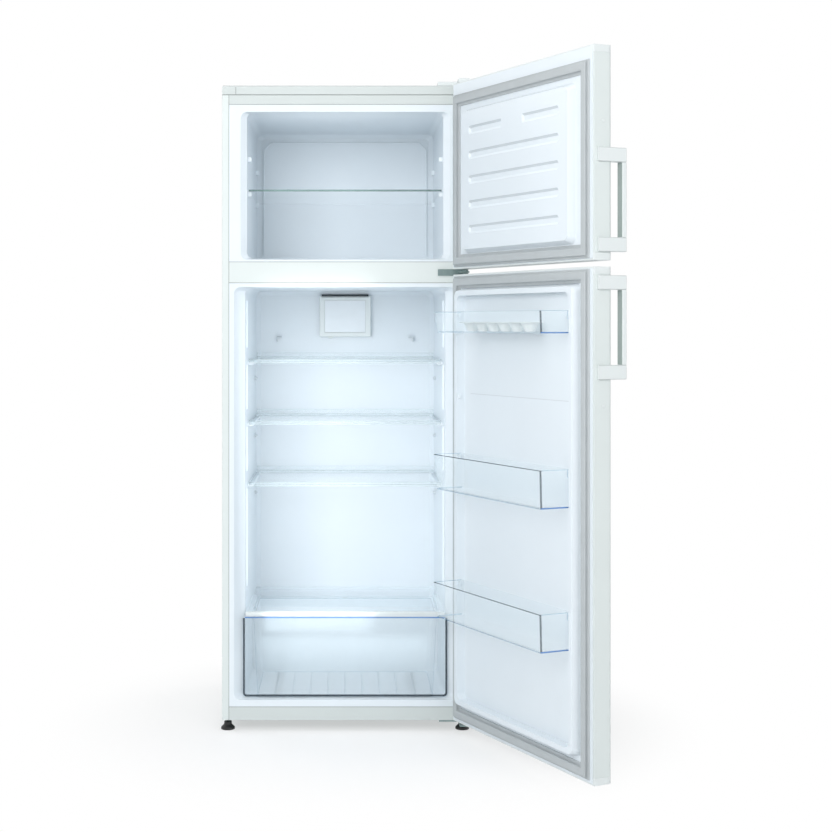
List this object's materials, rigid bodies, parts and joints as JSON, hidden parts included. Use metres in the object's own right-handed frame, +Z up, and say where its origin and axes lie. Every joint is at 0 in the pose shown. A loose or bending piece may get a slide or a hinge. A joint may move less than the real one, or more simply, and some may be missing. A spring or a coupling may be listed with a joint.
{
  "type": "top freezer refrigerator",
  "caption": "Free-standing refrigerator with a freezer above, both doors open: glass shelves, crisper drawer, clear door bins, bar handles and a rear condenser.",
  "frame": {"origin": "on the floor under the axis of the front left levelling foot", "axes": "+X to the right across the front, +Y to the rear, +Z up"},
  "size_m": [0.8916, 1.1382, 1.584],
  "materials": {
    "white_steel": "satin",
    "zinc_steel": "satin",
    "white_plastic": "satin",
    "liner_plastic": "satin",
    "foam": "matte",
    "shelf_glass": "gloss",
    "clear_plastic": "gloss",
    "gasket_rubber": "matte",
    "black_plastic": "matte",
    "black_steel": "satin",
    "copper": "satin",
    "aluminium": "satin",
    "rubber": "matte",
    "lamp_lens": "satin"
  },
  "bodies": {
    "cabinet": {"side_panel_left": "white_steel", "side_panel_right": "white_steel", "rear_panel": "zinc_steel", "top_cover": "white_plastic", "top_rail_and_plinth": "white_steel", "middle_rail": "white_steel", "base_pan": "zinc_steel", "compressor_plate": "zinc_steel", "insulation_foam": "foam", "freezer_liner": "liner_plastic", "fridge_liner": "liner_plastic", "evaporator_plates": "aluminium", "lamp_housing": "white_plastic", "lamp_lens": "lamp_lens", "drain_tube": "white_plastic", "evaporation_tray": "black_plastic", "compressor": "black_steel", "relay_cover": "black_plastic", "compressor_grommets": "rubber", "condenser": "black_steel", "condenser_brackets": "black_plastic", "refrigerant_pipes": "copper", "top_hinge": "zinc_steel", "top_hinge_cover": "white_plastic", "middle_hinge": "zinc_steel", "bottom_hinge": "zinc_steel", "cabinet_screws": "zinc_steel"},
    "thermostat_dial": {"thermostat_dial": "white_plastic"},
    "front_foot_left": {"front_foot_left": "black_plastic"},
    "front_foot_right": {"front_foot_right": "black_plastic"},
    "rear_roller_left": {"rear_roller_left": "black_plastic"},
    "rear_roller_right": {"rear_roller_right": "black_plastic"},
    "freezer_shelf": {"freezer_shelf_glass": "shelf_glass"},
    "crisper_cover": {"crisper_cover_glass": "shelf_glass", "crisper_cover_trims": "white_plastic"},
    "crisper_drawer": {"crisper_drawer": "clear_plastic"},
    "egg_tray": {"egg_tray": "white_plastic"},
    "shelf_upper": {"shelf_upper_glass": "shelf_glass", "shelf_upper_trims": "clear_plastic"},
    "door_bin_upper": {"door_bin_upper": "clear_plastic"},
    "shelf_middle": {"shelf_middle_glass": "shelf_glass", "shelf_middle_trims": "clear_plastic"},
    "door_bin_middle": {"door_bin_middle": "clear_plastic"},
    "shelf_lower": {"shelf_lower_glass": "shelf_glass", "shelf_lower_trims": "clear_plastic"},
    "door_bin_lower": {"door_bin_lower": "clear_plastic"},
    "freezer_door": {"freezer_door_panel": "white_steel", "freezer_door_caps": "white_plastic", "freezer_door_foam": "foam", "freezer_door_liner": "liner_plastic", "freezer_door_gasket": "gasket_rubber", "freezer_handle_bar": "white_plastic", "freezer_handle_brackets": "white_plastic"},
    "fridge_door": {"fridge_door_panel": "white_steel", "fridge_door_caps": "white_plastic", "fridge_door_foam": "foam", "fridge_door_liner": "liner_plastic", "fridge_door_gasket": "gasket_rubber", "fridge_handle_bar": "white_plastic", "fridge_handle_brackets": "white_plastic"}
  },
  "joints": [
    {"name": "freezer_door_hinge", "type": "hinge", "parent": "cabinet", "child": "freezer_door", "pos_m": [0.575, -0.056, 1.111], "axis": [0, 0, 1], "range_deg": [-115, 15]},
    {"name": "fridge_door_hinge", "type": "hinge", "parent": "cabinet", "child": "fridge_door", "pos_m": [0.575, -0.056, 1.111], "axis": [0, 0, 1], "range_deg": [-115, 15]},
    {"name": "freezer_shelf_slide", "type": "slide", "parent": "cabinet", "child": "freezer_shelf", "axis": [0, -1, 0], "range_m": [0, 0.3]},
    {"name": "shelf_upper_slide", "type": "slide", "parent": "cabinet", "child": "shelf_upper", "axis": [0, -1, 0], "range_m": [0, 0.3]},
    {"name": "shelf_middle_slide", "type": "slide", "parent": "cabinet", "child": "shelf_middle", "axis": [0, -1, 0], "range_m": [0, 0.3]},
    {"name": "shelf_lower_slide", "type": "slide", "parent": "cabinet", "child": "shelf_lower", "axis": [0, -1, 0], "range_m": [0, 0.3]},
    {"name": "crisper_cover_slide", "type": "slide", "parent": "cabinet", "child": "crisper_cover", "axis": [0, -1, 0], "range_m": [0, 0.25]},
    {"name": "crisper_drawer_slide", "type": "slide", "parent": "cabinet", "child": "crisper_drawer", "axis": [0, -1, 0], "range_m": [0, 0.27]},
    {"name": "door_bin_upper_lift", "type": "slide", "parent": "fridge_door", "child": "door_bin_upper", "axis": [0, 0, 1], "range_m": [0, 0.024]},
    {"name": "door_bin_middle_lift", "type": "slide", "parent": "fridge_door", "child": "door_bin_middle", "axis": [0, 0, 1], "range_m": [0, 0.024]},
    {"name": "door_bin_lower_lift", "type": "slide", "parent": "fridge_door", "child": "door_bin_lower", "axis": [0, 0, 1], "range_m": [0, 0.024]},
    {"name": "egg_tray_lift", "type": "slide", "parent": "door_bin_upper", "child": "egg_tray", "axis": [0, 0, 1], "range_m": [0, 0.03]},
    {"name": "front_foot_left_turn", "type": "hinge", "parent": "cabinet", "child": "front_foot_left", "pos_m": [0, 0, 0], "axis": [0, 0, 1], "continuous": true},
    {"name": "rear_roller_left_spin", "type": "hinge", "parent": "cabinet", "child": "rear_roller_left", "pos_m": [0.047, 0.475, 0.0115], "axis": [1, 0, 0], "continuous": true},
    {"name": "front_foot_right_turn", "type": "hinge", "parent": "cabinet", "child": "front_foot_right", "pos_m": [0.574, 0, 0], "axis": [0, 0, 1], "continuous": true},
    {"name": "rear_roller_right_spin", "type": "hinge", "parent": "cabinet", "child": "rear_roller_right", "pos_m": [0.527, 0.475, 0.0115], "axis": [1, 0, 0], "continuous": true},
    {"name": "thermostat_dial_turn", "type": "hinge", "parent": "cabinet", "child": "thermostat_dial", "pos_m": [0.247, 0.429, 0.966], "axis": [0, 1, 0], "range_deg": [0, 270]}
  ]
}
